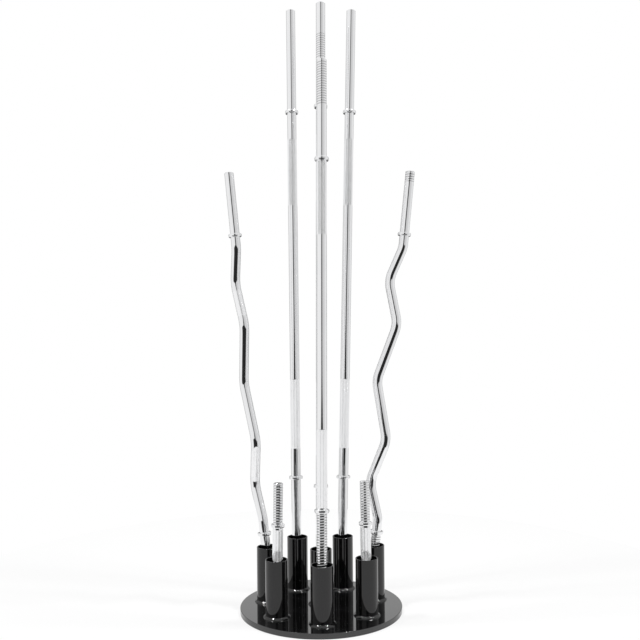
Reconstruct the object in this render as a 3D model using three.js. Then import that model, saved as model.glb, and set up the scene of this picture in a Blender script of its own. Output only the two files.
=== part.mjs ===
// A barbell storage rack, loaded: a round steel plate carries eight open tubes, one in the middle and
// seven on a ring round it, and each tube holds one chromed steel bar standing on its end.
// Sizes are in millimetres, with +Z up. The origin is the centre of the plate's underside, and the
// front of the rack, where one tube of the ring stands, faces -Y.

import * as THREE from 'three';

// Base plate: a disc cut from thick sheet, with its two edges broken by a chamfer.
const PLATE_DIAMETER = 448;
const PLATE_THICKNESS = 15;
const PLATE_CHAMFER = 1.5;

// Tubes: plain round pipe, open at the top, standing on the plate.
const TUBE_DIAMETER = 60;
const TUBE_WALL = 3;
const TUBE_HEIGHT = 153;
const RING_RADIUS = 153.5;

// Weld beads: a fillet round the foot of each tube, its face crowned a little.
const WELD_LEG = 7;
const WELD_CROWN = 0.8;

// The gap that a piece keeps to what it stands on, leans on or is pressed on.
const SEAT_GAP = 0.3;

// Straight bars: three long ones and a shorter one in the front tube.
const LONG_BAR_LENGTH = 1750;
const LONG_BAR_SLEEVE = 321;
const SHORT_BAR_LENGTH = 1524;
const SHORT_BAR_SLEEVE = 286;
const STRAIGHT_BAR_DIAMETER = 28;

// Curl bars: a rod bent to a zigzag in one plane. The zigzag starts at a shoulder, a setback in from
// each collar's middle. The other bends lie at shares of the way from the bar's middle to a
// shoulder, along the line of the sleeves, and each is set off that line by its offset.
const CURL_BAR_LENGTH = 1225;
const CURL_BAR_SLEEVE = 185;
const CURL_BAR_DIAMETER = 27;
const CURL_BEND_RADIUS = 80;
const CURL_SHOULDER_SETBACK = 38.5;
const CURL_OUTER_PEAK_SHARE = 0.748;
const CURL_OUTER_PEAK_OFFSET = 33;
const CURL_VALLEY_SHARE = 0.427;
const CURL_VALLEY_OFFSET = -4.5;
const CURL_MIDDLE_PEAK_OFFSET = 41;

// Dumbbell bars: a short grip between two thinner threaded ends.
const DUMBBELL_BAR_LENGTH = 352;
const DUMBBELL_BAR_SLEEVE = 113;
const DUMBBELL_GRIP_DIAMETER = 28;
const DUMBBELL_END_DIAMETER = 25.4;

// The chamfer on the ends of every bar.
const BAR_END_CHAMFER = 1.5;

// Stop collars: one ring at the inner end of each sleeve, which keeps the weights off the grip.
const COLLAR_WIDTH = 10;
const COLLAR_CHAMFER = 1.5;
const STRAIGHT_BAR_COLLAR_DIAMETER = 40;
const CURL_BAR_COLLAR_DIAMETER = 38;
const DUMBBELL_COLLAR_DIAMETER = 36;

// How many flat sides stand for a round one.
const PLATE_SIDES = 96;
const TUBE_SIDES = 36;
const BAR_SIDES = 20;
const BEND_STEPS = 4;

const UP = new THREE.Vector3(0, 0, 1);
const PLATE_RADIUS = PLATE_DIAMETER / 2;
const TUBE_RADIUS = TUBE_DIAMETER / 2;
const BORE_RADIUS = TUBE_RADIUS - TUBE_WALL;
const RING_PLACES = ['front', 'front_left', 'left', 'back_left', 'back_right', 'right', 'front_right'];
const FRONT_AZIMUTH = -90;

// Finishes.
const blackPaint = () => new THREE.MeshStandardMaterial({
  color: 0x0b0b0c,
  roughness: 0.12,
  metalness: 0,
});
const chrome = () => new THREE.MeshStandardMaterial({
  color: 0xd9dbde,
  roughness: 0.08,
  metalness: 1,
});

// A point at a distance from the Z axis, in a direction counted from +X towards +Y in degrees.
function polar(distance, azimuth, height) {
  const angle = THREE.MathUtils.degToRad(azimuth);
  return new THREE.Vector3(distance * Math.cos(angle), distance * Math.sin(angle), height);
}

// A solid turned about the Z axis. The profile is a list of [radius, height] pairs, which goes
// round the section with the material on its left.
function turned(profile, sides) {
  const points = profile.map(([radius, height]) => new THREE.Vector2(radius, height));
  const geometry = new THREE.LatheGeometry(points, sides);
  geometry.rotateX(Math.PI / 2);
  return geometry;
}

function named(name, geometry, material) {
  const mesh = new THREE.Mesh(geometry, material);
  mesh.name = name;
  return mesh;
}

function basePlate() {
  const profile = [
    [0, 0],
    [PLATE_RADIUS - PLATE_CHAMFER, 0],
    [PLATE_RADIUS, PLATE_CHAMFER],
    [PLATE_RADIUS, PLATE_THICKNESS - PLATE_CHAMFER],
    [PLATE_RADIUS - PLATE_CHAMFER, PLATE_THICKNESS],
    [0, PLATE_THICKNESS],
  ];
  return named('base_plate', turned(profile, PLATE_SIDES), blackPaint());
}

function tube(place) {
  const profile = [
    [BORE_RADIUS, 0],
    [TUBE_RADIUS, 0],
    [TUBE_RADIUS, TUBE_HEIGHT],
    [BORE_RADIUS, TUBE_HEIGHT],
    [BORE_RADIUS, 0],
  ];
  return named(`tube_${place}`, turned(profile, TUBE_SIDES), blackPaint());
}

function weldBead(place) {
  const inner = TUBE_RADIUS + SEAT_GAP;
  const crown = WELD_LEG / 2 + WELD_CROWN * Math.SQRT1_2;
  const profile = [
    [inner, 0],
    [inner + WELD_LEG, 0],
    [inner + crown, crown],
    [inner, WELD_LEG],
    [inner, 0],
  ];
  return named(`weld_bead_${place}`, turned(profile, TUBE_SIDES), blackPaint());
}

// A rod with chamfered ends. Its sections are [radius, height] pairs from the foot to the top.
function rodProfile(sections) {
  const [footRadius, foot] = sections[0];
  const [topRadius, top] = sections[sections.length - 1];
  return [
    [0, foot],
    [footRadius - BAR_END_CHAMFER, foot],
    [footRadius, foot + BAR_END_CHAMFER],
    ...sections.slice(1, -1),
    [topRadius, top - BAR_END_CHAMFER],
    [topRadius - BAR_END_CHAMFER, top],
    [0, top],
  ];
}

function straightRod(diameter, length) {
  const radius = diameter / 2;
  return turned(rodProfile([[radius, 0], [radius, length]]), BAR_SIDES);
}

function dumbbellRod() {
  const gripRadius = DUMBBELL_GRIP_DIAMETER / 2;
  const endRadius = DUMBBELL_END_DIAMETER / 2;
  // The grip runs on through the collars, and steps down at their outer faces.
  const gripFoot = DUMBBELL_BAR_SLEEVE - COLLAR_WIDTH / 2;
  const gripTop = DUMBBELL_BAR_LENGTH - gripFoot;
  const sections = [
    [endRadius, 0],
    [endRadius, gripFoot],
    [gripRadius, gripFoot],
    [gripRadius, gripTop],
    [endRadius, gripTop],
    [endRadius, DUMBBELL_BAR_LENGTH],
  ];
  return turned(rodProfile(sections), BAR_SIDES);
}

// The corners of the curl bar's centre line, from its foot to its top, as [offset, height] pairs.
function curlCorners() {
  const middle = CURL_BAR_LENGTH / 2;
  const toShoulder = middle - CURL_BAR_SLEEVE - CURL_SHOULDER_SETBACK;
  const lowerHalf = [
    [0, 0],
    [0, middle - toShoulder],
    [CURL_OUTER_PEAK_OFFSET, middle - toShoulder * CURL_OUTER_PEAK_SHARE],
    [CURL_VALLEY_OFFSET, middle - toShoulder * CURL_VALLEY_SHARE],
  ];
  const upperHalf = lowerHalf.map(([offset, height]) => [offset, CURL_BAR_LENGTH - height]).reverse();
  const corners = [...lowerHalf, [CURL_MIDDLE_PEAK_OFFSET, middle], ...upperHalf];
  return corners.map(([offset, height]) => new THREE.Vector2(offset, height));
}

// Points along a line of corners, each corner rounded to an arc. Each point has the place, and the
// direction square to the line there.
function roundedLine(corners, bendRadius) {
  const stations = [];
  const add = (point, direction) => {
    stations.push({ point, across: new THREE.Vector2(direction.y, -direction.x) });
  };
  const directions = corners.slice(1).map((corner, i) => corner.clone().sub(corners[i]).normalize());
  add(corners[0], directions[0]);
  for (let i = 1; i < corners.length - 1; i += 1) {
    const before = directions[i - 1];
    const after = directions[i];
    const turn = Math.asin(before.cross(after));
    const tangentLength = bendRadius * Math.tan(Math.abs(turn) / 2);
    const start = corners[i].clone().addScaledVector(before, -tangentLength);
    const toCentre = new THREE.Vector2(-before.y, before.x).multiplyScalar(Math.sign(turn) * bendRadius);
    const centre = start.clone().add(toCentre);
    for (let step = 0; step <= BEND_STEPS; step += 1) {
      const swing = turn * step / BEND_STEPS;
      const point = start.clone().rotateAround(centre, swing);
      add(point, before.clone().rotateAround(new THREE.Vector2(), swing));
    }
  }
  add(corners[corners.length - 1], directions[directions.length - 1]);
  return stations;
}

// A straight rod is turned with one ring of points for each station of the bent line, and each
// ring is then carried to its station and set square to the line.
function curlRod() {
  const radius = CURL_BAR_DIAMETER / 2;
  const stations = roundedLine(curlCorners(), CURL_BEND_RADIUS);
  const [footStation] = stations;
  const topStation = stations[stations.length - 1];
  const profile = rodProfile(stations.map((station) => [radius, station.point.y]));
  const onStation = [
    footStation,
    footStation,
    ...stations,
    topStation,
    topStation,
  ];
  const geometry = turned(profile, BAR_SIDES);
  const position = geometry.attributes.position;
  for (let i = 0; i < position.count; i += 1) {
    const ring = i % profile.length;
    const { point, across } = onStation[ring];
    const alongOffset = profile[ring][1] - point.y;
    const out = position.getX(i);
    position.setXYZ(
      i,
      point.x + across.x * out,
      position.getY(i),
      point.y + across.y * out + alongOffset,
    );
  }
  return geometry;
}

function collar(name, diameter, rodDiameter, height) {
  const radius = diameter / 2;
  const bore = rodDiameter / 2 + SEAT_GAP;
  const half = COLLAR_WIDTH / 2;
  const profile = [
    [bore, -half],
    [radius - COLLAR_CHAMFER, -half],
    [radius, -half + COLLAR_CHAMFER],
    [radius, half - COLLAR_CHAMFER],
    [radius - COLLAR_CHAMFER, half],
    [bore, half],
    [bore, -half],
  ];
  const ring = named(name, turned(profile, BAR_SIDES), chrome());
  ring.position.set(0, 0, height);
  return ring;
}

// The four kinds of bar. The sleeve is the stretch from an end to the middle of its collar. The
// diameters are those of the foot, of the stretch that leans on the rim, and of the collars' seats.
const longBar = {
  name: 'straight_bar',
  rod: () => straightRod(STRAIGHT_BAR_DIAMETER, LONG_BAR_LENGTH),
  length: LONG_BAR_LENGTH,
  sleeve: LONG_BAR_SLEEVE,
  footDiameter: STRAIGHT_BAR_DIAMETER,
  rimDiameter: STRAIGHT_BAR_DIAMETER,
  collarSeatDiameter: STRAIGHT_BAR_DIAMETER,
  collarDiameter: STRAIGHT_BAR_COLLAR_DIAMETER,
};
const shortBar = {
  ...longBar,
  rod: () => straightRod(STRAIGHT_BAR_DIAMETER, SHORT_BAR_LENGTH),
  length: SHORT_BAR_LENGTH,
  sleeve: SHORT_BAR_SLEEVE,
};
const curlBar = {
  name: 'curl_bar',
  rod: curlRod,
  length: CURL_BAR_LENGTH,
  sleeve: CURL_BAR_SLEEVE,
  footDiameter: CURL_BAR_DIAMETER,
  rimDiameter: CURL_BAR_DIAMETER,
  collarSeatDiameter: CURL_BAR_DIAMETER,
  collarDiameter: CURL_BAR_COLLAR_DIAMETER,
};
const dumbbellBar = {
  name: 'dumbbell_bar',
  rod: dumbbellRod,
  length: DUMBBELL_BAR_LENGTH,
  sleeve: DUMBBELL_BAR_SLEEVE,
  footDiameter: DUMBBELL_END_DIAMETER,
  rimDiameter: DUMBBELL_GRIP_DIAMETER,
  collarSeatDiameter: DUMBBELL_GRIP_DIAMETER,
  collarDiameter: DUMBBELL_COLLAR_DIAMETER,
};

// How each bar stands in its tube. It leans towards rimAzimuth, and its foot stands on the plate at
// footAzimuth, by footShare of the way from the tube's axis to the bore's wall. peakAzimuth is where
// the peaks of a curl bar point.
const STANCES = {
  centre: { bar: longBar, rimAzimuth: 88, footAzimuth: 259, footShare: 0.39 },
  front: { bar: shortBar, rimAzimuth: 90, footAzimuth: 253, footShare: 0.38 },
  front_left: { bar: dumbbellBar, rimAzimuth: 77, footAzimuth: 89, footShare: 0.33 },
  left: { bar: curlBar, rimAzimuth: 116, footAzimuth: 9, footShare: 0.68, peakAzimuth: 118 },
  back_left: { bar: longBar, rimAzimuth: 100, footAzimuth: 151, footShare: 0.13 },
  back_right: { bar: longBar, rimAzimuth: 90, footAzimuth: 163, footShare: 0.35 },
  right: { bar: curlBar, rimAzimuth: 65, footAzimuth: 160, footShare: 0.88, peakAzimuth: 162 },
  front_right: { bar: dumbbellBar, rimAzimuth: 93, footAzimuth: 270, footShare: 0.59 },
};

// Where a leaning bar can touch its tube: with its side on the rim, and with its lower collar on the
// bore, if the tube is deep enough to take the collar.
function touches(bar) {
  const atRim = { height: TUBE_HEIGHT, radius: bar.rimDiameter / 2 };
  const atCollar = { height: bar.sleeve + COLLAR_WIDTH / 2, radius: bar.collarDiameter / 2 };
  return atCollar.height < TUBE_HEIGHT ? [atRim, atCollar] : [atRim];
}

// The direction of a bar that goes from its foot to where it touches its tube.
function leanTo({ height, radius }, foot, azimuth) {
  const towards = (halfWidth) => polar(BORE_RADIUS - SEAT_GAP - halfWidth, azimuth, height).sub(foot);
  // A level section through the tilted bar is a little wider than the bar.
  const tilt = towards(radius).angleTo(UP);
  return towards(radius / Math.cos(tilt)).normalize();
}

function standingBar(place) {
  const { bar, rimAzimuth, footAzimuth, footShare, peakAzimuth = 0 } = STANCES[place];
  const footRadius = bar.footDiameter / 2;
  const foot = polar((BORE_RADIUS - SEAT_GAP - footRadius) * footShare, footAzimuth, 0);
  const leans = touches(bar).map((touch) => leanTo(touch, foot, rimAzimuth));
  // The touch that comes first leaves the bar the steepest.
  const axis = leans.reduce((steepest, lean) => (lean.z > steepest.z ? lean : steepest));
  // The end of a tilted bar is lower on one side, and that side stands just clear of the plate.
  const endHeight = footRadius * Math.sin(axis.angleTo(UP)) + SEAT_GAP;
  const group = new THREE.Group();
  group.position.copy(foot).addScaledVector(axis, endHeight / axis.z);
  group.quaternion.setFromUnitVectors(UP, axis);
  const rod = named(`${bar.name}_${place}`, bar.rod(), chrome());
  rod.rotation.z = THREE.MathUtils.degToRad(peakAzimuth);
  group.add(
    rod,
    collar(`lower_collar_${place}`, bar.collarDiameter, bar.collarSeatDiameter, bar.sleeve),
    collar(`upper_collar_${place}`, bar.collarDiameter, bar.collarSeatDiameter, bar.length - bar.sleeve),
  );
  return group;
}

// One tube with its weld bead and its bar, set on the plate at a point.
function station(place, centre) {
  const group = new THREE.Group();
  group.position.copy(centre);
  group.add(tube(place), weldBead(place), standingBar(place));
  return group;
}

const rack = new THREE.Group();
rack.add(basePlate());
rack.add(station('centre', polar(0, 0, PLATE_THICKNESS)));
RING_PLACES.forEach((place, i) => {
  const azimuth = FRONT_AZIMUTH - i * 360 / RING_PLACES.length;
  rack.add(station(place, polar(RING_RADIUS, azimuth, PLATE_THICKNESS)));
});

export default rack;
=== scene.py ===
# %% [markdown]
# A barbell storage rack with its bars in it. The real rack is a welded stand: a thick round steel
# plate, a pipe in its middle and seven more on a ring round it, all in glossy black. Each pipe holds
# one chromed bar that stands on its end. The imported model gives every size and place, in metres, so
# the first step loads it. Each piece that is made later stands where a piece
# of that model stands.

# %% Load the rack's frame
import math

import bpy
import numpy as np
from mathutils import Matrix, Quaternion, Vector


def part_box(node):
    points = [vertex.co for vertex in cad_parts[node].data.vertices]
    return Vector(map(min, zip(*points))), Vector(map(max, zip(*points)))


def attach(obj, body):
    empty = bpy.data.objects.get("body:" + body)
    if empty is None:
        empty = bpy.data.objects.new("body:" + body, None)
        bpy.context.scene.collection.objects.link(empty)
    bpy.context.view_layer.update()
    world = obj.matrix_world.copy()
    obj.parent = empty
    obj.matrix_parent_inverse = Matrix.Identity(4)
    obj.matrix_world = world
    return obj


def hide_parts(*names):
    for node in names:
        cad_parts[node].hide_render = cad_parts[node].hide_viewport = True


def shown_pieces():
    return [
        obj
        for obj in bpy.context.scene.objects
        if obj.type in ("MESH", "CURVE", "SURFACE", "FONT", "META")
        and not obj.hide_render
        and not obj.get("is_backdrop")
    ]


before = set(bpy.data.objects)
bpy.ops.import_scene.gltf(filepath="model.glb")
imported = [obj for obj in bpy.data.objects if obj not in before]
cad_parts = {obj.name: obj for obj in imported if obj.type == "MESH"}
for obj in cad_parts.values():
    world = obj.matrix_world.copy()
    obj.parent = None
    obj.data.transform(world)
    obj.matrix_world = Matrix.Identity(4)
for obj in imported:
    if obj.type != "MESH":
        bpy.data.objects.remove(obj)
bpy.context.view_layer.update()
MM = 0.001
UP = Vector((0, 0, 1))
PLACES = sorted(name.removeprefix("tube_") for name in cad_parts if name.startswith("tube_"))

# %% [markdown]
# The photograph was taken from a little under half the height of the longest bars, with the camera
# level and its picture shifted a little to one side. A lens of nearly 48 mm on a 36 mm sensor gives
# the same perspective, and the small roll tips the picture by less than half a degree.

# %% Place the camera
CAMERA_PLACE = Vector((-40.13, -2350.23, 803.40)) * MM
CAMERA_LOOKS_ALONG = Vector((0.0306, 0.99953, 0))
CAMERA_ROLL = -0.0078
LENS_MM = 47.6
PICTURE_SIDE_PX = 640
LENS_AXIS_PX = 330.6

camera_data = bpy.data.cameras.new("camera")
camera_data.lens = LENS_MM
camera_data.shift_x = (PICTURE_SIDE_PX / 2 - LENS_AXIS_PX) / PICTURE_SIDE_PX
camera = bpy.data.objects.new("camera", camera_data)
camera.location = CAMERA_PLACE
camera.rotation_mode = "QUATERNION"
level = CAMERA_LOOKS_ALONG.to_track_quat("-Z", "Y")
camera.rotation_quaternion = level @ Quaternion((0, 0, 1), CAMERA_ROLL)
bpy.context.scene.collection.objects.link(camera)
bpy.context.scene.camera = camera
print("camera stands", round(CAMERA_PLACE.length, 2), "m from the rack's foot")

# %% [markdown]
# The next helpers open a piece for modelling. An operator acts on all that is selected, so each
# starts with nothing selected and then picks points, edges or faces by where they lie.

# %% Pick points, edges or faces
PICK_MODES = {
    "points": ("VERT", (True, False, False)),
    "edges": ("EDGE", (False, True, False)),
    "faces": ("FACE", (False, False, True)),
}


def take_up(piece):
    """Makes a piece the only one that is selected."""
    bpy.ops.object.select_all(action="DESELECT")
    piece.select_set(True)
    bpy.context.view_layer.objects.active = piece


def pick(piece, kind, flags):
    """Opens a piece in edit mode with the flagged points, edges or faces selected."""
    mesh = piece.data
    parts = {"points": mesh.vertices, "edges": mesh.edges, "faces": mesh.polygons}
    for part in parts.values():
        part.foreach_set("select", np.zeros(len(part), bool))
    parts[kind].foreach_set("select", np.asarray(flags, bool))
    mode, flags_of_mode = PICK_MODES[kind]
    bpy.context.tool_settings.mesh_select_mode = flags_of_mode
    take_up(piece)
    bpy.ops.object.mode_set(mode="EDIT")
    bpy.ops.mesh.select_mode(type=mode)


def put_down():
    bpy.ops.object.mode_set(mode="OBJECT")


def points_of(piece):
    points = np.empty(len(piece.data.vertices) * 3)
    piece.data.vertices.foreach_get("co", points)
    return points.reshape(-1, 3)


def all_points(piece):
    return np.ones(len(piece.data.vertices), bool)


def edge_ends(piece):
    """The two points of each edge, by number."""
    ends = np.empty(len(piece.data.edges) * 2, int)
    piece.data.edges.foreach_get("vertices", ends)
    return ends.reshape(-1, 2)


def faces_with_all(piece, point_flags):
    """Flags the faces whose points are all flagged."""
    return np.array([all(point_flags[i] for i in face.vertices) for face in piece.data.polygons])


print("ways to pick", *PICK_MODES)

# %% [markdown]
# More helpers finish a piece. A primitive gets its name, modifiers are applied one after the
# other, and a clean-up merges what lies on one spot, closes the open ends and turns every face
# outwards. Large faces then lead the shading, so that a flat or a long round looks true right up to
# its edge. A piece that is moved keeps its object at the origin, and its mesh holds the place.

# %% Finish a piece
MERGE_WITHIN = 0.002 * MM
LARGE_FACES_LEAD = 100
CREASE_DEGREES = 20


def new_piece(name):
    piece = bpy.context.object
    piece.name = name
    return piece


def apply_modifiers(piece):
    take_up(piece)
    for modifier in list(piece.modifiers):
        bpy.ops.object.modifier_apply(modifier=modifier.name)


def clean_up(piece, smooth_below):
    """Closes a piece and smooths its edges that turn by fewer degrees than smooth_below."""
    pick(piece, "points", all_points(piece))
    bpy.ops.mesh.remove_doubles(threshold=MERGE_WITHIN)
    bpy.ops.mesh.fill_holes(sides=0)
    bpy.ops.mesh.normals_make_consistent(inside=False)
    put_down()
    bpy.ops.object.shade_smooth_by_angle(angle=math.radians(smooth_below))
    lead = piece.modifiers.new("lead", "WEIGHTED_NORMAL")
    lead.keep_sharp = True
    lead.weight = LARGE_FACES_LEAD
    apply_modifiers(piece)


def moved(piece, matrix):
    """Moves a piece and keeps its object at the origin, so that the place is in its mesh."""
    piece.matrix_world = matrix @ piece.matrix_world
    take_up(piece)
    bpy.ops.object.transform_apply(location=True, rotation=True, scale=True)
    return piece


def copy_of(piece, name):
    """A copy with a mesh of its own."""
    twin = piece.copy()
    twin.data = piece.data.copy()
    twin.name = name
    bpy.context.scene.collection.objects.link(twin)
    return twin


print("points closer than", MERGE_WITHIN, "m are merged")

# %% [markdown]
# Materials come next. The black is a thick coat of glossy enamel over steel. It is almost a black
# mirror, so most of what shows on it is what it reflects. A real coat isn't flat, though: it has a
# faint orange peel, and here and there it is duller from dust and handling. Both come from noise
# on Object coordinates, which stay with the piece.

# %% Nodes for any finish
def node_tree(material):
    material.use_nodes = True
    tree = material.node_tree
    return tree.nodes, tree.links, tree.nodes["Principled BSDF"]


def noise(nodes, links, waves, detail, stretch=(1, 1, 1)):
    """Noise over the piece, with so many waves to a metre. It can be stretched along an axis."""
    place = nodes.new("ShaderNodeTexCoord")
    mapping = nodes.new("ShaderNodeMapping")
    mapping.inputs["Scale"].default_value = stretch
    texture = nodes.new("ShaderNodeTexNoise")
    texture.inputs["Scale"].default_value = waves
    texture.inputs["Detail"].default_value = detail
    links.new(place.outputs["Object"], mapping.inputs["Vector"])
    links.new(mapping.outputs["Vector"], texture.inputs["Vector"])
    return texture.outputs["Fac"]


def spread(nodes, links, value, low, high, start=0.3, end=0.7):
    """Noise from start to end becomes a number from low to high."""
    span = nodes.new("ShaderNodeMapRange")
    span.inputs["From Min"].default_value = start
    span.inputs["From Max"].default_value = end
    span.inputs["To Min"].default_value = low
    span.inputs["To Max"].default_value = high
    links.new(value, span.inputs["Value"])
    return span.outputs["Result"]


def tint(nodes, links, value, dark, light):
    """A colour between two greys, mixed by a number from 0 to 1."""
    mix = nodes.new("ShaderNodeMix")
    mix.data_type = "RGBA"
    mix.inputs["A"].default_value = (*dark, 1)
    mix.inputs["B"].default_value = (*light, 1)
    links.new(value, mix.inputs["Factor"])
    return mix.outputs["Result"]


def bumps(nodes, links, shader, heights):
    """Adds height maps one on another. Each has its value and its depth in metres."""
    normal = None
    for value, depth in heights:
        bump = nodes.new("ShaderNodeBump")
        bump.inputs["Strength"].default_value = 1
        bump.inputs["Distance"].default_value = depth
        links.new(value, bump.inputs["Height"])
        if normal is not None:
            links.new(normal, bump.inputs["Normal"])
        normal = bump.outputs["Normal"]
    links.new(normal, shader.inputs["Normal"])


print("helpers for a finish", *[helper.__name__ for helper in (noise, spread, tint, bumps)])

# %% Black enamel
CLEAN_BLACK = (0.002, 0.002, 0.0022)
DUSTY_BLACK = (0.006, 0.006, 0.0063)
CLOUD_WAVES = 9
DUST_WAVES = 60
PEEL_WAVES = 260


def black_enamel(name, gloss_index, gloss_level, dull_low, dull_high, peel_depth):
    material = bpy.data.materials.new(name)
    nodes, links, shader = node_tree(material)
    shader.inputs["IOR"].default_value = gloss_index
    shader.inputs["Specular IOR Level"].default_value = gloss_level
    clouds = noise(nodes, links, CLOUD_WAVES, detail=4)
    links.new(tint(nodes, links, clouds, CLEAN_BLACK, DUSTY_BLACK), shader.inputs["Base Color"])
    dust = noise(nodes, links, DUST_WAVES, detail=5)
    links.new(spread(nodes, links, dust, dull_low, dull_high), shader.inputs["Roughness"])
    peel = noise(nodes, links, PEEL_WAVES, detail=1)
    bumps(nodes, links, shader, [(peel, peel_depth)])
    return material


plate_enamel = black_enamel(
    "plate_enamel", gloss_index=1.72, gloss_level=0.5, dull_low=0.03, dull_high=0.07, peel_depth=0.004 * MM
)
pipe_enamel = black_enamel(
    "pipe_enamel", gloss_index=1.5, gloss_level=0.5, dull_low=0.03, dull_high=0.08, peel_depth=0.006 * MM
)
weld_enamel = black_enamel(
    "weld_enamel", gloss_index=1.5, gloss_level=0.6, dull_low=0.05, dull_high=0.1, peel_depth=0.01 * MM
)
print("enamels", plate_enamel.name, pipe_enamel.name, weld_enamel.name)

# %% [markdown]
# The bars are chromed. Bright chrome is nearly as bright as silver and a touch blue, and it is
# ground round and round before it is plated, which leaves lines too fine to see that make it a
# little dull. Where hands hold it, faint smears make it duller still. In the grooves of a thread the
# chrome is painted darker and duller, as painted shade for the grooves.

# %% Chrome plate
SMEARED_TINT = (0.92, 0.925, 0.935)
CLEAN_TINT = (1, 1, 1.01)
SMEAR_WAVES = 14
GRINDING_WAVES = 900
GRINDING_STRETCH = (0.15, 0.15, 1)


def chrome(name, brightness, dull_low, dull_high, line_depth):
    material = bpy.data.materials.new(name)
    nodes, links, shader = node_tree(material)
    shader.inputs["Metallic"].default_value = 1
    smears = noise(nodes, links, SMEAR_WAVES, detail=5)
    dark = [brightness * channel for channel in SMEARED_TINT]
    light = [brightness * channel for channel in CLEAN_TINT]
    links.new(tint(nodes, links, smears, dark, light), shader.inputs["Base Color"])
    links.new(spread(nodes, links, smears, dull_low, dull_high), shader.inputs["Roughness"])
    ground = noise(nodes, links, GRINDING_WAVES, detail=2, stretch=GRINDING_STRETCH)
    bumps(nodes, links, shader, [(ground, line_depth)])
    return material


bar_chrome = chrome("bar_chrome", brightness=0.9, dull_low=0.04, dull_high=0.1, line_depth=0.0006 * MM)
grip_chrome = chrome("grip_chrome", brightness=0.95, dull_low=0.08, dull_high=0.16, line_depth=0.002 * MM)
# Darker, duller chrome for the grooves of a thread: painted shade, standing in for the shade that falls in
# them.
groove_shade_chrome = chrome(
    "groove_shade_chrome", brightness=0.58, dull_low=0.1, dull_high=0.2, line_depth=0.002 * MM
)
collar_chrome = chrome(
    "collar_chrome", brightness=0.9, dull_low=0.05, dull_high=0.12, line_depth=0.0006 * MM
)
ROD_COATS = (bar_chrome, grip_chrome, groove_shade_chrome)
print("chromes", *[coat.name for coat in ROD_COATS], collar_chrome.name)

# %% [markdown]
# A piece gets its materials, and once it is finished it rides on its body and stands for a piece of
# the imported model, which is then hidden.

# %% Hand a piece over
def coat(piece, *materials):
    for material in materials:
        piece.data.materials.append(material)


def hand_over(piece, body, node):
    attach(piece, body)
    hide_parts(node)


# %% [markdown]
# The base plate is flame-cut from thick sheet and turned round at its edge. It starts as a drum of
# the plate's size. Both edges are then broken with a bevel of four small steps, because a coat of
# enamel runs thin over a sharp edge and always leaves it a little round. That rounded edge is what
# draws the thin light line round the real plate.

# %% Turn the base plate
PLATE_STEPS = 288
EDGE_BREAK = 1.5 * MM
EDGE_BREAK_STEPS = 4
SHARP_OVER = math.radians(40)

plate_low, plate_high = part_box("base_plate")
bpy.ops.object.select_all(action="DESELECT")
bpy.ops.mesh.primitive_cylinder_add(
    vertices=PLATE_STEPS,
    radius=(plate_high.x - plate_low.x) / 2,
    depth=plate_high.z - plate_low.z,
    location=(plate_low + plate_high) / 2,
)
plate = moved(new_piece("plate"), Matrix.Identity(4))
edges = plate.modifiers.new("edges", "BEVEL")
edges.width = EDGE_BREAK
edges.segments = EDGE_BREAK_STEPS
edges.limit_method = "ANGLE"
edges.angle_limit = SHARP_OVER
apply_modifiers(plate)
clean_up(plate, smooth_below=CREASE_DEGREES)
coat(plate, plate_enamel)
hand_over(plate, "rack", "base_plate")
print("plate", [round(side, 4) for side in plate.dimensions])

# %% [markdown]
# A pipe starts as a drum with no ends. Solidify gives it its wall, inwards, so that the outside
# keeps its size, and a small bevel rounds the sawn rims under their enamel. One pipe is made at the
# origin and copied to the eight places.

# %% Cut the pipes
PIPE_STEPS = 128
PIPE_WALL = 3 * MM
RIM_ROUND = 1 * MM
RIM_ROUND_STEPS = 3
PIPE_CREASE_DEGREES = 35

pipe_low, pipe_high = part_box("tube_centre")
PIPE_RADIUS = (pipe_high.x - pipe_low.x) / 2
PIPE_HEIGHT = pipe_high.z - pipe_low.z


def middle_of(node):
    low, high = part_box(node)
    return (low + high) / 2


def foot_of(node):
    """The point on the plate under the middle of a node."""
    middle = middle_of(node)
    return Vector((middle.x, middle.y, plate_high.z))


bpy.ops.object.select_all(action="DESELECT")
bpy.ops.mesh.primitive_cylinder_add(
    vertices=PIPE_STEPS,
    radius=PIPE_RADIUS,
    depth=PIPE_HEIGHT,
    end_fill_type="NOTHING",
    location=(0, 0, PIPE_HEIGHT / 2),
)
first_pipe = moved(new_piece("first_pipe"), Matrix.Identity(4))
wall = first_pipe.modifiers.new("wall", "SOLIDIFY")
wall.thickness = PIPE_WALL
wall.offset = -1
rims = first_pipe.modifiers.new("rims", "BEVEL")
rims.width = RIM_ROUND
rims.segments = RIM_ROUND_STEPS
rims.limit_method = "ANGLE"
rims.angle_limit = SHARP_OVER
apply_modifiers(first_pipe)
clean_up(first_pipe, smooth_below=PIPE_CREASE_DEGREES)
coat(first_pipe, pipe_enamel)
for place in PLACES:
    pipe = moved(copy_of(first_pipe, f"pipe_{place}"), Matrix.Translation(foot_of(f"tube_{place}")))
    hand_over(pipe, "rack", f"tube_{place}")
bpy.data.objects.remove(first_pipe)
print("pipes", len(PLACES), "wall", PIPE_WALL)

# %% [markdown]
# Each pipe is welded to the plate all round. A weld bead is a row of ripples, each the frozen edge
# of the pool of metal that moved along the joint, and no bead is quite even. The bead starts as its
# section, drawn point by point from one vertex, as on a drawing board. It has a leg on the pipe and
# a leg on the plate, and between them it swells a little.

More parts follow.
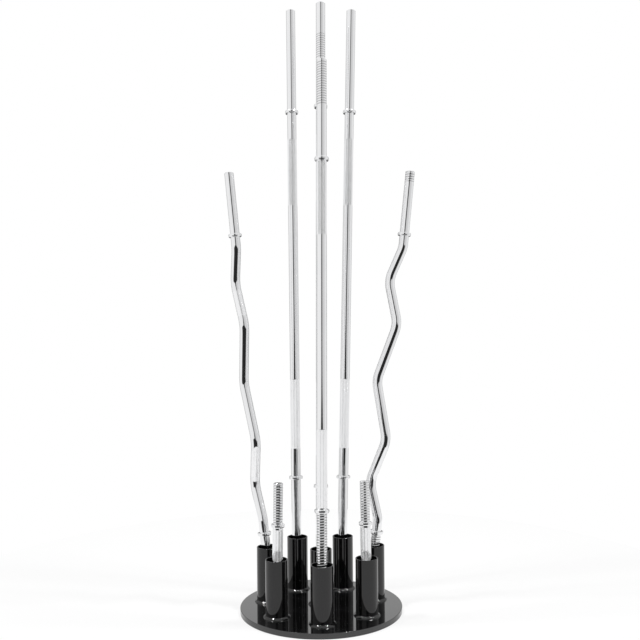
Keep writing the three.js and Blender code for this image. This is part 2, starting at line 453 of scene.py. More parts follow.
# %% Draw an outline point by point
def outline(name, points):
    """A chain of points joined by edges, drawn from a single vertex."""
    bpy.ops.object.select_all(action="DESELECT")
    bpy.ops.mesh.primitive_plane_add(location=(0, 0, 0))
    chain = new_piece(name)
    bpy.ops.object.mode_set(mode="EDIT")
    bpy.ops.mesh.select_mode(type="VERT")
    bpy.ops.mesh.select_all(action="SELECT")
    bpy.ops.mesh.merge(type="CENTER")
    bpy.ops.transform.translate(value=points[0])
    for start, end in zip(points, points[1:]):
        bpy.ops.mesh.extrude_vertices_move(TRANSFORM_OT_translate={"value": Vector(end) - Vector(start)})
    put_down()
    return chain


print("helper for a section", outline.__name__)

# %% The bead's section
BEAD_SECTION_STEPS = 9
BEAD_LEG_SHARE = 0.82
BEAD_SWELL_SHARE = 0.06
BEAD_SEAT = 0.25 * MM

weld_low, weld_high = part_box("weld_bead_centre")
WELD_LEG = weld_high.z - weld_low.z
BEAD_CORNER = PIPE_RADIUS + BEAD_SEAT
bead_points = []
for step in range(BEAD_SECTION_STEPS + 1):
    share = step / BEAD_SECTION_STEPS
    crown = BEAD_SWELL_SHARE * math.sin(math.pi * share) * WELD_LEG
    outwards = (1 - share) * WELD_LEG * BEAD_LEG_SHARE + crown
    upwards = share * WELD_LEG * BEAD_LEG_SHARE + crown
    bead_points.append(Vector((BEAD_CORNER + outwards, 0, BEAD_SEAT + upwards)))
bead_points.append(Vector((BEAD_CORNER, 0, BEAD_SEAT)))
bead_points.append(bead_points[0])
bead = outline("bead", bead_points)
print("bead with a leg of", round(WELD_LEG, 4), "m and", len(bead_points) - 1, "points")

# %% [markdown]
# The section is then spun by one ripple's share of the whole turn, in a few steps. In each step
# between the ripple's ends, the outer points are pushed away from the bead's inner corner, most in
# the middle of the ripple, so that it bulges. The points on the plate stay where they are.

# %% Make one ripple
WELD_RIPPLES = 66
RIPPLE_STEPS = 6
RIPPLE_BULGE = 0.07 * MM
JOIN_WITHIN = 0.01 * MM
BEAD_CORE = WELD_LEG / 4
FOOT_HEIGHT = BEAD_SEAT + 0.1 * MM
NEAR_STEP_SHARE = 0.25

ripple_turn = 2 * math.pi / WELD_RIPPLES
step_turn = ripple_turn / RIPPLE_STEPS
pick(bead, "points", all_points(bead))
bpy.ops.mesh.remove_doubles(threshold=JOIN_WITHIN)
bpy.ops.mesh.spin(steps=RIPPLE_STEPS, angle=-ripple_turn, center=(0, 0, 0), axis=(0, 0, 1))
put_down()
spots = points_of(bead)
turned = np.arctan2(spots[:, 1], spots[:, 0])
off_corner = np.hypot(np.hypot(spots[:, 0], spots[:, 1]) - BEAD_CORNER, spots[:, 2] - BEAD_SEAT)
outer = (off_corner > BEAD_CORE) & (spots[:, 2] > FOOT_HEIGHT)
for step in range(1, RIPPLE_STEPS):
    pick(bead, "points", outer & (np.abs(turned - step * step_turn) < NEAR_STEP_SHARE * step_turn))
    bulge = 1 + RIPPLE_BULGE * math.sin(math.pi * step / RIPPLE_STEPS) / WELD_LEG
    middle = Matrix.Rotation(step * step_turn, 3, "Z") @ Vector((BEAD_CORNER, 0, BEAD_SEAT))
    bpy.ops.transform.resize(value=(bulge, bulge, bulge), center_override=middle)
    put_down()
print("one ripple turns by", round(math.degrees(ripple_turn), 2), "degrees")

# %% [markdown]
# An array, turned about the pipe by an empty, repeats the ripple until the ring closes. A slow noise
# then makes the ring uneven. Each of the eight beads is a copy of that ring, turned to another angle
# so that no two pipes show the same lumps.

# %% Close the ring and set the beads
LUMP_SIZE = 11 * MM
LUMP_HEIGHT = 1.1 * MM
LUMP_MIDDLE_SHARE = 0.6
NEXT_BEAD_TURN_SHARE = 0.37
BEAD_CREASE_DEGREES = 50

bpy.ops.object.select_all(action="DESELECT")
bpy.ops.object.empty_add(location=(0, 0, 0), rotation=(0, 0, ripple_turn))
turntable = bpy.context.object
ring = bead.modifiers.new("ring", "ARRAY")
ring.count = WELD_RIPPLES
ring.use_relative_offset = False
ring.use_object_offset = True
ring.offset_object = turntable
ring.use_merge_vertices = True
ring.merge_threshold = JOIN_WITHIN
lumps = bpy.data.textures.new("lumps", "CLOUDS")
lumps.noise_scale = LUMP_SIZE
uneven = bead.modifiers.new("uneven", "DISPLACE")
uneven.texture = lumps
uneven.texture_coords = "GLOBAL"
uneven.strength = LUMP_HEIGHT
uneven.mid_level = LUMP_MIDDLE_SHARE
apply_modifiers(bead)
bpy.data.objects.remove(turntable)
clean_up(bead, smooth_below=BEAD_CREASE_DEGREES)
coat(bead, weld_enamel)
for count, place in enumerate(PLACES):
    turn = Matrix.Rotation(2 * math.pi * count * NEXT_BEAD_TURN_SHARE, 4, "Z")
    weld = moved(copy_of(bead, f"weld_{place}"), Matrix.Translation(foot_of(f"weld_bead_{place}")) @ turn)
    hand_over(weld, "rack", f"weld_bead_{place}")
bpy.data.objects.remove(bead)
print("welds", len(PLACES), "ripples in each", WELD_RIPPLES)

# %% [markdown]
# Every bar leans a little in its pipe. The middles of its two stop collars give the line of the
# bar, and the ends of its rod along that line give its length. All bars are modelled upright, with
# their feet at the origin, and then set on their lines.

# %% Read how each bar stands
def bar_node(place):
    names = [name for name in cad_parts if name.endswith(f"_bar_{place}")]
    return names[0]


def stance(place):
    """The matrix that stands a bar in its pipe, its length and how long its lower sleeve is. For a
    bent bar it also says which way its bends bulge, as an angle about the bar."""
    lower = middle_of(f"lower_collar_{place}")
    axis = (middle_of(f"upper_collar_{place}") - lower).normalized()
    node = bar_node(place)
    points = points_of(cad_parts[node]) - np.array(lower)
    along = points @ np.array(axis)
    foot = lower + axis * along.min()
    matrix = Matrix.Translation(foot) @ UP.rotation_difference(axis).to_matrix().to_4x4()
    off_axis = points - np.outer(along, axis)
    widest = off_axis[np.argmax(np.linalg.norm(off_axis, axis=1))]
    upright = UP.rotation_difference(axis).inverted() @ Vector(widest)
    return {
        "node": node,
        "matrix": matrix,
        "length": along.max() - along.min(),
        "sleeve": -along.min(),
        "peaks_towards": math.atan2(upright.y, upright.x),
    }


stances = {place: stance(place) for place in PLACES}
for place, stands in stances.items():
    print(stands["node"], round(stands["length"], 4), round(stands["sleeve"], 4),
          round(math.degrees(stands["peaks_towards"]), 1))

# %% [markdown]
# A rod is grown from its foot: a ring of points is extruded upwards, and drawn in or let out where
# the rod gets thinner or thicker. The curl bars are grown in the same way and then spun round each
# bend, as the bender does with the real ones. The ends stay open until the last clean-up.

# %% Grow a rod
ROUND_STEPS = 88


def foot_ring(name, radius):
    bpy.ops.object.select_all(action="DESELECT")
    bpy.ops.mesh.primitive_circle_add(vertices=ROUND_STEPS, radius=radius, location=(0, 0, 0))
    rod = new_piece(name)
    coat(rod, *ROD_COATS)
    bpy.ops.object.mode_set(mode="EDIT")
    bpy.ops.mesh.select_mode(type="VERT")
    bpy.ops.mesh.select_all(action="SELECT")
    return rod


print("points round a rod", ROUND_STEPS)


# %% Straight and bent rods
END_BREAK = 1.5 * MM
BEND_STEPS = 14


def extrude(move, swell=1, about=(0, 0, 0)):
    bpy.ops.mesh.extrude_region_move(TRANSFORM_OT_translate={"value": move})
    if swell != 1:
        bpy.ops.transform.resize(value=(swell, swell, 1), center_override=about)


def straight_rod(name, sections):
    """A rod with broken ends. The sections are (radius, height) from the foot to the top."""
    foot_radius = sections[0][0]
    top_radius, top = sections[-1]
    profile = [
        (foot_radius - END_BREAK, 0),
        (foot_radius, END_BREAK),
        *sections[1:-1],
        (top_radius, top - END_BREAK),
        (top_radius - END_BREAK, top),
    ]
    rod = foot_ring(name, profile[0][0])
    for (radius, height), (next_radius, next_height) in zip(profile, profile[1:]):
        extrude((0, 0, next_height - height), next_radius / radius, (0, 0, next_height))
    put_down()
    return rod


def bent_rod(name, radius, corners, bend_radius):
    """A rod bent in the XZ plane, along a line of corners that starts at the origin and goes up."""
    rod = foot_ring(name, radius - END_BREAK)
    extrude((0, 0, END_BREAK), radius / (radius - END_BREAK), (0, 0, END_BREAK))
    at = Vector((0, 0, END_BREAK))
    heading = UP
    for corner, ahead in zip(corners[1:], corners[2:]):
        new_heading = (ahead - corner).normalized()
        turn = heading.angle(new_heading)
        setback = bend_radius * math.tan(turn / 2)
        start = corner - heading * setback
        extrude(start - at)
        hinge = heading.cross(new_heading).normalized()
        centre = start + hinge.cross(heading) * bend_radius
        bpy.ops.mesh.spin(steps=BEND_STEPS, angle=-turn, center=centre, axis=hinge)
        at = corner + new_heading * setback
        heading = new_heading
    top = corners[-1]
    extrude(top - heading * END_BREAK - at)
    extrude(heading * END_BREAK, (radius - END_BREAK) / radius, top)
    put_down()
    return rod


print("each end of a rod is broken by", END_BREAK, "m")

# %% [markdown]
# Two things are cut into a bar's round: knurling, which keeps hands from slipping, and the coarse
# thread that the weights' nuts run on. Both are modelled as an open stretch and then let into the
# rod. Knurling is a field of small four-sided points. Two rows of faces are grown, every second
# point of each ring is pushed out, each face is split along its shorter diagonal, and an array
# stacks this course up the grip. A bump in the material would look alike from afar, but the edge of
# the grip would stay smooth, and the points would be lost in the mesh.

# %% Knurling
KNURL_LOW = 0.2 * MM
KNURL_HIGH = 0.1 * MM
FINE_KNURL_SHARE = 0.45


def knurled_stretch(radius, length, share=1):
    """A knurled tube from height 0 to length, with faces as high as wide. The share scales the knurl."""
    rows = 2 * round(length * ROUND_STEPS / (2 * math.pi * radius) / 2)
    row = length / rows
    low_radius = radius - share * KNURL_LOW
    high_radius = radius + share * KNURL_HIGH
    stretch = foot_ring("knurling", low_radius)
    extrude((0, 0, row))
    extrude((0, 0, row))
    put_down()
    points = points_of(stretch)
    column = np.round(np.arctan2(points[:, 1], points[:, 0]) * ROUND_STEPS / (2 * math.pi))
    course = np.round(points[:, 2] / row)
    pick(stretch, "points", (column + course) % 2 == 0)
    swell = high_radius / low_radius
    bpy.ops.transform.resize(value=(swell, swell, 1), center_override=(0, 0, 0))
    bpy.ops.mesh.select_all(action="SELECT")
    bpy.ops.mesh.quads_convert_to_tris(quad_method="SHORTEST_DIAGONAL")
    stretch.active_material_index = ROD_COATS.index(grip_chrome)
    bpy.ops.object.material_slot_assign()
    put_down()
    stack = stretch.modifiers.new("stack", "ARRAY")
    stack.count = rows // 2
    stack.use_relative_offset = False
    stack.use_constant_offset = True
    stack.constant_offset_displace = (0, 0, 2 * row)
    stack.use_merge_vertices = True
    stack.merge_threshold = JOIN_WITHIN
    apply_modifiers(stretch)
    return stretch


def finely_knurled_stretch(radius, length):
    return knurled_stretch(radius, length, FINE_KNURL_SHARE)


print("knurling stands", KNURL_HIGH, "m out and goes", KNURL_LOW, "m in")

# %% [markdown]
# The thread starts as the outline of one turn: a flat crest and a groove like a blunt V, one pitch
# high. A Screw modifier lifts it while it turns it about the bar, past both ends of the stretch,
# and the ends are then cut off square. All but the crest gets the darker groove chrome, which is
# painted shade for the grooves. The worn thread is the same, but shallower.

# %% Thread
THREAD_PITCH = 7 * MM
THREAD_DEPTH = 0.95 * MM
WORN_THREAD_DEPTH = 0.35 * MM
THREAD_ALONG_SHARES = (0, 0.5, 0.7, 0.74, 1)
THREAD_IN_SHARES = (0, 0, 1, 1, 0)
CREST_SHARE = 0.05


def threaded_stretch(radius, length, depth=THREAD_DEPTH):
    """A thread from height 0 to length. THREAD_ALONG_SHARES and THREAD_IN_SHARES draw one turn."""
    tooth = [
        Vector((radius - depth * inwards, 0, THREAD_PITCH * (along - 1)))
        for along, inwards in zip(THREAD_ALONG_SHARES, THREAD_IN_SHARES)
    ]
    stretch = outline("thread", tooth)
    coat(stretch, *ROD_COATS)
    screw = stretch.modifiers.new("screw", "SCREW")
    screw.axis = "Z"
    screw.screw_offset = THREAD_PITCH
    screw.iterations = math.ceil(length / THREAD_PITCH) + 2
    screw.steps = ROUND_STEPS
    screw.render_steps = ROUND_STEPS
    apply_modifiers(stretch)
    pick(stretch, "points", all_points(stretch))
    bpy.ops.mesh.remove_doubles(threshold=JOIN_WITHIN)
    bpy.ops.mesh.bisect(plane_co=(0, 0, 0), plane_no=(0, 0, 1), clear_inner=True)
    bpy.ops.mesh.select_all(action="SELECT")
    bpy.ops.mesh.bisect(plane_co=(0, 0, length), plane_no=(0, 0, 1), clear_outer=True)
    put_down()
    crest = np.hypot(*points_of(stretch)[:, :2].T) > radius - CREST_SHARE * depth
    # Painted shade: all faces but the crest get the darker groove chrome.
    pick(stretch, "faces", ~faces_with_all(stretch, crest))
    stretch.active_material_index = ROD_COATS.index(groove_shade_chrome)
    bpy.ops.object.material_slot_assign()
    put_down()
    return stretch


def worn_threaded_stretch(radius, length):
    return threaded_stretch(radius, length, WORN_THREAD_DEPTH)


print("thread pitch", THREAD_PITCH, "m, depth", THREAD_DEPTH, "m, worn", WORN_THREAD_DEPTH, "m")

# %% [markdown]
# To let a stretch in, the rod is cut square at both of its ends, the faces between are taken out,
# and the open stretch is set in the gap and joined on. Bridging then closes the last fraction of a
# millimetre at each end, so the rod is still one closed skin.

# %% See where the points and edges of a rod lie
def line_up(piece, start, end):
    """How far each point of a piece lies along a line, and how far off it."""
    heading = np.array((end - start).normalized())
    offset = points_of(piece) - np.array(start)
    along = offset @ heading
    return along, np.linalg.norm(offset - np.outer(along, heading), axis=1)


def open_edges(piece):
    """Flags the edges that only one face uses."""
    used = np.empty(len(piece.data.loops), int)
    piece.data.loops.foreach_get("edge_index", used)
    return np.bincount(used, minlength=len(piece.data.edges)) == 1


print("open edges of a pipe", open_edges(bpy.data.objects[f"pipe_{PLACES[0]}"]).sum())

# %% Let a stretch into a rod
SEAM = 0.4 * MM
ON_SKIN = 0.02 * MM
NEARBY_SHARE = 1.2


def let_in(rod, radius, start, end, make_stretch):
    heading = (end - start).normalized()
    length = (end - start).length
    for cut in (start, end):
        along, off = line_up(rod, start, end)
        pick(rod, "faces", faces_with_all(rod, np.abs(off - radius) < ON_SKIN))
        bpy.ops.mesh.bisect(plane_co=cut, plane_no=heading)
        put_down()
    along, off = line_up(rod, start, end)
    between = (along > -JOIN_WITHIN) & (along < length + JOIN_WITHIN) & (off < NEARBY_SHARE * radius)
    pick(rod, "faces", faces_with_all(rod, between))
    bpy.ops.mesh.delete(type="FACE")
    put_down()

    stretch = make_stretch(radius, length - 2 * SEAM)
    stand = UP.rotation_difference(heading).to_matrix().to_4x4()
    moved(stretch, Matrix.Translation(start + heading * SEAM) @ stand)
    take_up(rod)
    stretch.select_set(True)
    bpy.ops.object.join()
    for joint in (0, length):
        along, off = line_up(rod, start, end)
        near = (np.abs(along - joint) < 2 * SEAM) & (off < NEARBY_SHARE * radius)
        both_near = near[edge_ends(rod)].all(axis=1)
        pick(rod, "edges", open_edges(rod) & both_near)
        bpy.ops.mesh.bridge_edge_loops()
        put_down()


print("a stretch is joined on over", SEAM, "m at each end")

# %% [markdown]
# The four straight bars. Their grips are smooth in the middle and knurled on both sides of it,
# nearly out to the collars. The sleeves of the two at the back are plain. The middle bar has a short
# worn thread near its top. The shorter bar in the front has one too, and its lower sleeve is
# threaded right up to the collar.

# %% Straight bars
BAR_RADIUS = 14 * MM
KNURL_NEAR = 263 * MM
KNURL_FAR = 468 * MM


def on_axis(height):
    return Vector((0, 0, height))


def straight_bar(place, threads):
    """threads are (from, to, which kind of thread), as heights above the foot."""
    stands = stances[place]
    length = stands["length"]
    rod = straight_rod(f"rod_{place}", [(BAR_RADIUS, 0), (BAR_RADIUS, length)])
    for side in (-1, 1):
        ends = sorted(length / 2 + side * reach for reach in (KNURL_NEAR, KNURL_FAR))
        let_in(rod, BAR_RADIUS, on_axis(ends[0]), on_axis(ends[1]), knurled_stretch)
    for low, high, thread in threads:
        let_in(rod, BAR_RADIUS, on_axis(low), on_axis(high), thread)
    return rod


THREADS = {
    "centre": [(1576 * MM, 1652 * MM, worn_threaded_stretch)],
    "front": [
        (14 * MM, 280 * MM, threaded_stretch),
        (1390 * MM, 1516 * MM, worn_threaded_stretch),
    ],
}
for place in ("centre", "front", "back_left", "back_right"):
    rod = straight_bar(place, THREADS.get(place, []))
    clean_up(rod, smooth_below=CREASE_DEGREES)
    moved(rod, stances[place]["matrix"])
    hand_over(rod, f"bar_{place}", stances[place]["node"])
    print(rod.name, len(rod.data.polygons), "faces", open_edges(rod).sum(), "open edges")

# %% [markdown]
# The two dumbbell bars. Each has a thicker knurled grip between its collars, and both ends are
# threaded from the collar nearly to the tip.

# %% Dumbbell bars
GRIP_RADIUS = 14 * MM
HAND_END_RADIUS = 12.7 * MM
COLLAR_HALF = 5 * MM
GRIP_END_PLAIN = 15 * MM
TIP_PLAIN = 3.5 * MM
THREAD_RUNOUT = 1.5 * MM

for place in ("front_left", "front_right"):
    stands = stances[place]
    length = stands["length"]
    grip_low = stands["sleeve"] - COLLAR_HALF
    grip_high = length - grip_low
    rod = straight_rod(f"rod_{place}", [
        (HAND_END_RADIUS, 0),
        (HAND_END_RADIUS, grip_low),
        (GRIP_RADIUS, grip_low),
        (GRIP_RADIUS, grip_high),
        (HAND_END_RADIUS, grip_high),
        (HAND_END_RADIUS, length),
    ])
    knurl_low = grip_low + GRIP_END_PLAIN
    let_in(rod, GRIP_RADIUS, on_axis(knurl_low), on_axis(length - knurl_low), knurled_stretch)
    thread_high = grip_low - THREAD_RUNOUT
    for low, high in ((TIP_PLAIN, thread_high), (length - thread_high, length - TIP_PLAIN)):
        let_in(rod, HAND_END_RADIUS, on_axis(low), on_axis(high), threaded_stretch)
    clean_up(rod, smooth_below=CREASE_DEGREES)
    moved(rod, stands["matrix"])
    hand_over(rod, f"bar_{place}", stands["node"])
    print(rod.name, len(rod.data.polygons), "faces", open_edges(rod).sum(), "open edges")

# %% [markdown]
# The two curl bars are bent to a zigzag, all in one plane. From a shoulder beside each collar the
# bar goes out to a peak, back to a valley, and out again to the peak in its middle. The left one is
# finely knurled where it is held, between its outer peaks and its valleys. The right one is smooth
# there, but its lower sleeve is threaded, and its tip has a few turns of worn thread.

# %% Curl bars
CURL_RADIUS = 13.5 * MM
CURL_BEND_RADIUS = 80 * MM
CURL_SHOULDER_SETBACK = 38.5 * MM
CURL_OUTER_PEAK_SHARE = 0.748
CURL_OUTER_PEAK_OFFSET = 33 * MM
CURL_VALLEY_SHARE = 0.427
CURL_VALLEY_OFFSET = -4.5 * MM
CURL_MIDDLE_PEAK_OFFSET = 41 * MM
HOLD_SHARES = (0.2, 0.8)
CURL_TIP_THREAD = 32 * MM
CURL_THREAD_RUNOUT = 1 * MM


def curl_corners(length, sleeve):
    middle = length / 2
    to_shoulder = middle - sleeve - CURL_SHOULDER_SETBACK
    lower = [
        Vector((0, 0, 0)),
        Vector((0, 0, middle - to_shoulder)),
        Vector((CURL_OUTER_PEAK_OFFSET, 0, middle - to_shoulder * CURL_OUTER_PEAK_SHARE)),
        Vector((CURL_VALLEY_OFFSET, 0, middle - to_shoulder * CURL_VALLEY_SHARE)),
    ]
    upper = [Vector((corner.x, 0, length - corner.z)) for corner in reversed(lower)]
    return [*lower, Vector((CURL_MIDDLE_PEAK_OFFSET, 0, middle)), *upper]


for place in ("left", "right"):
    stands = stances[place]
    length = stands["length"]
    sleeve = stands["sleeve"]
    corners = curl_corners(length, sleeve)
    rod = bent_rod(f"rod_{place}", CURL_RADIUS, corners, CURL_BEND_RADIUS)
    if place == "left":
        for peak, valley in ((corners[2], corners[3]), (corners[5], corners[6])):
            holds = [peak.lerp(valley, share) for share in HOLD_SHARES]
            let_in(rod, CURL_RADIUS, holds[0], holds[1], finely_knurled_stretch)
    else:
        thread_high = sleeve - COLLAR_HALF - CURL_THREAD_RUNOUT
        let_in(rod, CURL_RADIUS, on_axis(TIP_PLAIN), on_axis(thread_high), threaded_stretch)
        tip = (on_axis(length - CURL_TIP_THREAD), on_axis(length - TIP_PLAIN))
        let_in(rod, CURL_RADIUS, *tip, worn_threaded_stretch)
    clean_up(rod, smooth_below=CREASE_DEGREES)
    moved(rod, stands["matrix"] @ Matrix.Rotation(stands["peaks_towards"], 4, "Z"))
    hand_over(rod, f"bar_{place}", stands["node"])
    print(rod.name, len(rod.data.polygons), "faces", open_edges(rod).sum(), "open edges")

# %% [markdown]
# A stop collar is a ring pressed on the bar, which keeps the weights off the grip. Like the pipes
# it is a drum with no ends that gets a wall. Its two outer edges are bevelled in two steps, each by
# a good quarter of the ring's width, so that it looks rounded off. The edges of its bore stay sharp,
# because they lie hidden against the bar.

# %% Stop collars
COLLAR_STEPS = 96
COLLAR_SEAT = 0.15 * MM
COLLAR_CHAMFER = 2.8 * MM
COLLAR_CHAMFER_STEPS = 2
EDGE_WITHIN = 0.5 * MM

ROD_RADII = {"straight": BAR_RADIUS, "curl": CURL_RADIUS, "dumbbell": GRIP_RADIUS}
for place in PLACES:
    stands = stances[place]
    kind = stands["node"].split("_")[0]
    for end in ("lower", "upper"):
        node = f"{end}_collar_{place}"
        turn = stands["matrix"].to_3x3().to_4x4()
        local = points_of(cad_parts[node]) - np.array(middle_of(node))
        local = local @ np.array(turn.to_3x3())
        radius = np.hypot(local[:, 0], local[:, 1]).max()
        width = 2 * local[:, 2].max()
        bpy.ops.object.select_all(action="DESELECT")
        bpy.ops.mesh.primitive_cylinder_add(
            vertices=COLLAR_STEPS, radius=radius, depth=width, end_fill_type="NOTHING", location=(0, 0, 0)
        )
        collar = new_piece(f"{end}_ring_{place}")
        wall = collar.modifiers.new("wall", "SOLIDIFY")
        wall.thickness = radius - ROD_RADII[kind] - COLLAR_SEAT
        wall.offset = -1
        apply_modifiers(collar)
        spots = points_of(collar)
        ends = edge_ends(collar)
        outside = np.hypot(spots[:, 0], spots[:, 1]) > radius - EDGE_WITHIN
        level_edges = np.ptp(spots[ends, 2], axis=1) < EDGE_WITHIN
        pick(collar, "edges", outside[ends].all(axis=1) & level_edges)
        bpy.ops.mesh.bevel(offset=COLLAR_CHAMFER, segments=COLLAR_CHAMFER_STEPS, affect="EDGES")
        put_down()
        clean_up(collar, smooth_below=CREASE_DEGREES)
        coat(collar, collar_chrome)
        moved(collar, Matrix.Translation(middle_of(node)) @ turn)
        hand_over(collar, f"bar_{place}", node)
print("collars", 2 * len(PLACES))

# %% [markdown]
# The floor is a pale disc under the rack. Its paint is a mix of two shaders. One is plain matt paint,
# which takes the rack's soft shadow. The other glows white, and a Light Path node gives it most of
# the say where the camera, a reflection or a look through glass meets the floor, but none where the
# floor lights the rack. Past the disc's edge the studio itself takes over.

# %% Floor paint
FLOOR_GREY = 0.8
FLOOR_WHITE_SHARE = 0.8

floor_paint = bpy.data.materials.new("floor_paint")
floor_paint.use_nodes = True
floor_nodes = floor_paint.node_tree.nodes
floor_links = floor_paint.node_tree.links
floor_nodes.clear()
floor_output = floor_nodes.new("ShaderNodeOutputMaterial")
floor_mix = floor_nodes.new("ShaderNodeMixShader")
floor_matt = floor_nodes.new("ShaderNodeBsdfDiffuse")
floor_matt.inputs["Color"].default_value = (FLOOR_GREY, FLOOR_GREY, FLOOR_GREY, 1)
floor_glow = floor_nodes.new("ShaderNodeEmission")
floor_path = floor_nodes.new("ShaderNodeLightPath")
floor_share = floor_nodes.new("ShaderNodeMath")
floor_share.operation = "MULTIPLY"
floor_share.inputs[1].default_value = FLOOR_WHITE_SHARE
floor_value = floor_path.outputs["Is Camera Ray"]
for ray in ("Is Glossy Ray", "Is Transmission Ray"):
    either = floor_nodes.new("ShaderNodeMath")
    either.operation = "MAXIMUM"
    floor_links.new(floor_value, either.inputs[0])
    floor_links.new(floor_path.outputs[ray], either.inputs[1])
    floor_value = either.outputs["Value"]
floor_links.new(floor_value, floor_share.inputs[0])
floor_links.new(floor_share.outputs["Value"], floor_mix.inputs["Fac"])
floor_links.new(floor_matt.outputs["BSDF"], floor_mix.inputs[1])
floor_links.new(floor_glow.outputs["Emission"], floor_mix.inputs[2])
floor_links.new(floor_mix.outputs["Shader"], floor_output.inputs["Surface"])
print("floor paint", len(floor_nodes), "nodes")

# %% Lay the floor
FLOOR_STEPS = 128
FLOOR_RADIUS = 1250 * MM
FLOOR_DROP = 0.2 * MM

bpy.ops.object.select_all(action="DESELECT")
bpy.ops.mesh.primitive_circle_add(
    vertices=FLOOR_STEPS, radius=FLOOR_RADIUS, fill_type="NGON", location=(0, 0, -FLOOR_DROP)
)
floor = new_piece("floor")
coat(floor, floor_paint)
floor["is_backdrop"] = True
print("floor", [round(side, 2) for side in floor.dimensions])

# %% [markdown]
# The studio is a white tent, with grey cards stood round it, because chrome in an all-white room
# has no shape. It is painted on the world, so it is a formula of the direction that a ray takes.
# That direction is turned into two numbers: a compass angle, counted from the camera's side, and a
# slope, which is 0 on the horizon and 1 at 45 degrees above it.

# %% Which way a ray goes
world = bpy.data.worlds.new("studio")
world.use_nodes = True
bpy.context.scene.world = world
studio_nodes = world.node_tree.nodes
studio_links = world.node_tree.links
studio_nodes.clear()


def arithmetic(operation, first, second=None):
    node = studio_nodes.new("ShaderNodeMath")
    node.operation = operation
    for socket, value in zip(node.inputs, (first, second)):
        if value is None:
            continue
        if isinstance(value, (int, float)):
            socket.default_value = value
        else:
            studio_links.new(value, socket)
    return node.outputs["Value"]


def ranged(value, low, high, to_low, to_high, smooth=False):
    node = studio_nodes.new("ShaderNodeMapRange")
    node.interpolation_type = "SMOOTHSTEP" if smooth else "LINEAR"
    for name, number in (("From Min", low), ("From Max", high), ("To Min", to_low), ("To Max", to_high)):
        if isinstance(number, (int, float)):
            node.inputs[name].default_value = number
        else:
            studio_links.new(number, node.inputs[name])
    studio_links.new(value, node.inputs["Value"])
    return node.outputs["Result"]


direction = studio_nodes.new("ShaderNodeTexCoord").outputs["Generated"]
split = studio_nodes.new("ShaderNodeSeparateXYZ")
studio_links.new(direction, split.inputs["Vector"])
towards_camera = arithmetic("MULTIPLY", split.outputs["Y"], -1)
compass = arithmetic("DEGREES", arithmetic("ARCTAN2", split.outputs["X"], towards_camera))
level_reach = arithmetic("SQRT", arithmetic(
    "ADD",
    arithmetic("MULTIPLY", split.outputs["X"], split.outputs["X"]),
    arithmetic("MULTIPLY", split.outputs["Y"], split.outputs["Y"]),
))
slope = arithmetic("DIVIDE", split.outputs["Z"], level_reach)
print("world nodes so far", len(studio_nodes))

# %% [markdown]
# The compass angle picks a grey from the ring of cards, through a colour ramp that runs once round
# the horizon. The two darkest cards stand behind the rack, to its left and right, and draw the fine
# grey lines along both edges of a bar.

# %% Ring of cards
RING_GREYS = (
    (-180, 1.0),
    (-162, 1.0),
    (-156, 0.35),
    (-142, 0.35),
    (-136, 0.95),
    (-120, 0.8),
    (-100, 0.95),
    (-60, 0.95),
    (-20, 0.9),
    (20, 0.64),
    (60, 0.75),
    (85, 0.85),
    (100, 0.95),
    (120, 0.75),
    (136, 0.95),
    (142, 0.35),
    (156, 0.35),
    (162, 1.0),
    (180, 1.0),
)
HALF_TURN = 180
FULL_TURN = 360
NEW_CARD_AT = 0.5

cards = studio_nodes.new("ShaderNodeValToRGB")
ramp = cards.color_ramp
while len(ramp.elements) < len(RING_GREYS):
    ramp.elements.new(NEW_CARD_AT)
for element, (angle, grey) in zip(ramp.elements, RING_GREYS):
    element.position = (angle + HALF_TURN) / FULL_TURN
    element.color = (grey, grey, grey, 1)
share_of_turn = arithmetic("DIVIDE", arithmetic("ADD", compass, HALF_TURN), FULL_TURN)
studio_links.new(share_of_turn, cards.inputs["Fac"])
print("cards", len(RING_GREYS))

# %% [markdown]
# The camera stands in a dark gap in the tent. The gap is narrow above the horizon and wide below it,
# where the dark floor past the pale disc shows, and high up it fades to grey. It draws the dark line
# down the middle of each bar. A second gap, low at the back, gives the bars a dark line from behind
# as well. Above the walls the tent has a plain pale ceiling.

# %% Dark gaps and ceiling
GAP_HALF_HIGH = 11
GAP_HALF_LOW = 48
GAP_SLOPE_HIGH = 0.17
GAP_SLOPE_LOW = -0.06
GAP_BLUR = 7
GAP_GREY_LOW = 0.03
GAP_GREY_HIGH = 0.26
GAP_FADES_FROM = 0.28
GAP_FADES_TO = 0.5
BACK_GAP_HALF = 16
BACK_GAP_FADES_FROM = 0.1
BACK_GAP_FADES_TO = 0.22
CEILING_GREY = 0.9
CEILING_SLOPES = (0.7, 1.3)

gap_half = ranged(slope, GAP_SLOPE_LOW, GAP_SLOPE_HIGH, GAP_HALF_LOW, GAP_HALF_HIGH, smooth=True)
gap_edge = arithmetic("SUBTRACT", arithmetic("ABSOLUTE", compass), gap_half)
gap_grey = ranged(slope, GAP_FADES_FROM, GAP_FADES_TO, GAP_GREY_LOW, GAP_GREY_HIGH, smooth=True)
gap_light = ranged(gap_edge, -GAP_BLUR / 2, GAP_BLUR / 2, gap_grey, 1, smooth=True)
back_gap_edge = arithmetic("SUBTRACT", HALF_TURN - BACK_GAP_HALF, arithmetic("ABSOLUTE", compass))
back_gap_light = ranged(back_gap_edge, -GAP_BLUR / 2, GAP_BLUR / 2, GAP_GREY_LOW, 1, smooth=True)
over_back_gap = ranged(slope, BACK_GAP_FADES_FROM, BACK_GAP_FADES_TO, 0, 1, smooth=True)
back_light = arithmetic("MAXIMUM", back_gap_light, over_back_gap)
wall_light = arithmetic("MULTIPLY", gap_light, back_light)
overhead = ranged(slope, *CEILING_SLOPES, 0, 1, smooth=True)
tent = studio_nodes.new("ShaderNodeMix")
tent.data_type = "FLOAT"
studio_links.new(overhead, tent.inputs["Factor"])
studio_links.new(arithmetic("MULTIPLY", cards.outputs["Color"], wall_light), tent.inputs["A"])
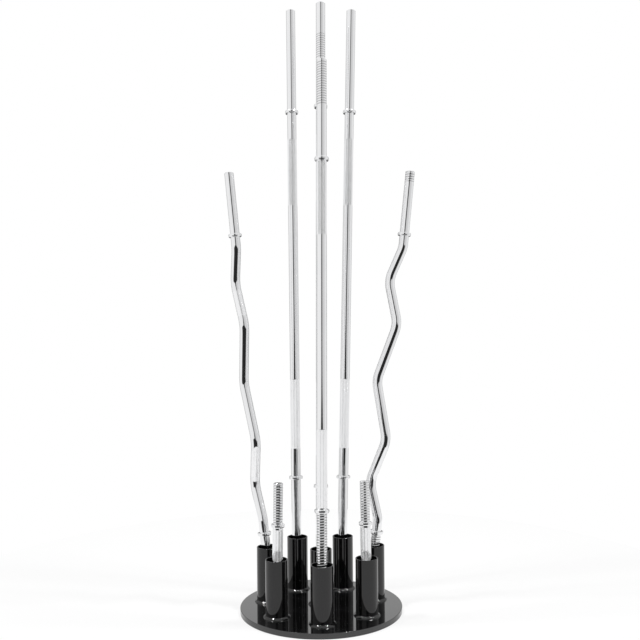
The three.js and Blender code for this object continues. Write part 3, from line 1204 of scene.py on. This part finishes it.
tent.inputs["B"].default_value = CEILING_GREY
print("gaps", 2 * GAP_HALF_LOW, "and", 2 * BACK_GAP_HALF, "degrees wide")

# %% [markdown]
# Not every ray sees the tent. A reflection does. The camera, and a look through glass, see plain
# white, which is the photograph's background. All other rays meet an even, weaker light, which
# lights matt paint and the floor from all around.

# %% What each ray sees
SHADED_SIDE_LIGHT = 0.45

paths = studio_nodes.new("ShaderNodeLightPath")
plain = studio_nodes.new("ShaderNodeMix")
plain.data_type = "FLOAT"
studio_links.new(paths.outputs["Is Glossy Ray"], plain.inputs["Factor"])
plain.inputs["A"].default_value = SHADED_SIDE_LIGHT
studio_links.new(tent.outputs["Result"], plain.inputs["B"])
seen = studio_nodes.new("ShaderNodeMix")
seen.data_type = "FLOAT"
studio_links.new(
    arithmetic("MAXIMUM", paths.outputs["Is Camera Ray"], paths.outputs["Is Transmission Ray"]),
    seen.inputs["Factor"],
)
studio_links.new(plain.outputs["Result"], seen.inputs["A"])
seen.inputs["B"].default_value = 1
background = studio_nodes.new("ShaderNodeBackground")
background.inputs["Color"].default_value = (1, 1, 1, 1)
studio_links.new(seen.outputs["Result"], background.inputs["Strength"])
studio_output = studio_nodes.new("ShaderNodeOutputWorld")
studio_links.new(background.outputs["Background"], studio_output.inputs["Surface"])
print("world nodes", len(studio_nodes))

# %% [markdown]
# Two soft lamps hang high over the rack, one on each side. They put the small bright spots on the
# weld beads and the rims, and give the floor its soft shadow. They hang so high because a lower lamp
# would show in the bars as a white streak.

# %% Lamps
LAMP_ASIDE = 1300 * MM
LAMP_HEIGHT = 3700 * MM
LAMP_AIM = Vector((0, 0, 300)) * MM
LAMP_SIDE = 300 * MM
LAMP_WATTS = 70

for side in (-1, 1):
    lamp_data = bpy.data.lights.new("soft_lamp", "AREA")
    lamp_data.shape = "SQUARE"
    lamp_data.size = LAMP_SIDE
    lamp_data.energy = LAMP_WATTS
    lamp = bpy.data.objects.new("soft_lamp", lamp_data)
    lamp.location = (side * LAMP_ASIDE, 0, LAMP_HEIGHT)
    lamp.rotation_mode = "QUATERNION"
    lamp.rotation_quaternion = (LAMP_AIM - lamp.location).to_track_quat("-Z", "Y")
    bpy.context.scene.collection.objects.link(lamp)
bpy.context.scene.view_settings.view_transform = "Standard"
print("lamps at", LAMP_HEIGHT, "m with", LAMP_WATTS, "W each")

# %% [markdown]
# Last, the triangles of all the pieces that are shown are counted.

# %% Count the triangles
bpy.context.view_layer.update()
triangles = sum(len(face.vertices) - 2 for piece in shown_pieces() for face in piece.data.polygons)
print("triangles", triangles)
